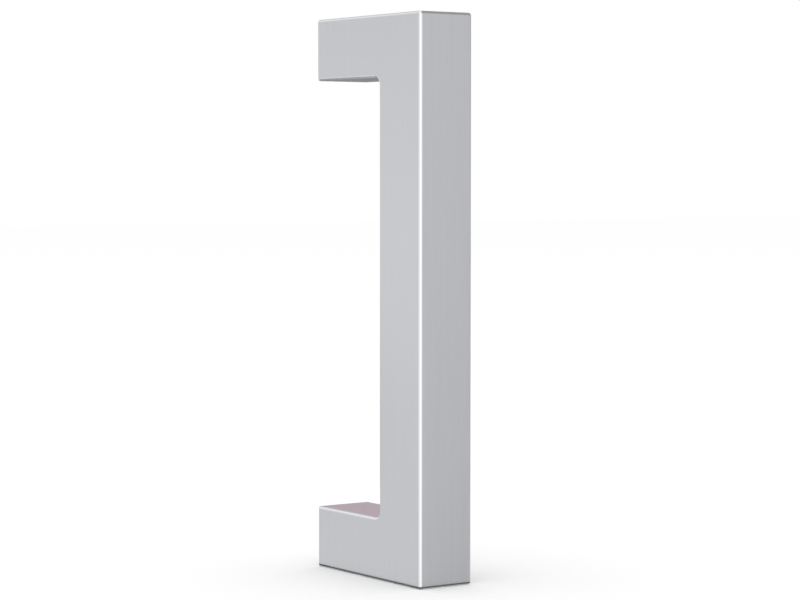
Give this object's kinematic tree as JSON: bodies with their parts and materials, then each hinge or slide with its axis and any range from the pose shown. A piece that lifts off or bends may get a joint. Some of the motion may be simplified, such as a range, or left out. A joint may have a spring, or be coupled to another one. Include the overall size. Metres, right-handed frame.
{
  "type": "cabinet handle",
  "caption": "Square-cornered C-shaped bar handle in satin silver metal, with a tapped hole in the end of each leg for screws through a cabinet door.",
  "frame": {"origin": "on the door's face, halfway between the two screw holes", "axes": "+Z along the handle, +Y out of the leg ends towards the door, so the grip's front faces -Y, and +X across the bar"},
  "size_m": [0.012, 0.035, 0.108],
  "materials": {
    "satin_chrome": "satin"
  },
  "bodies": {
    "root": {"handle": "satin_chrome"}
  },
  "joints": []
}
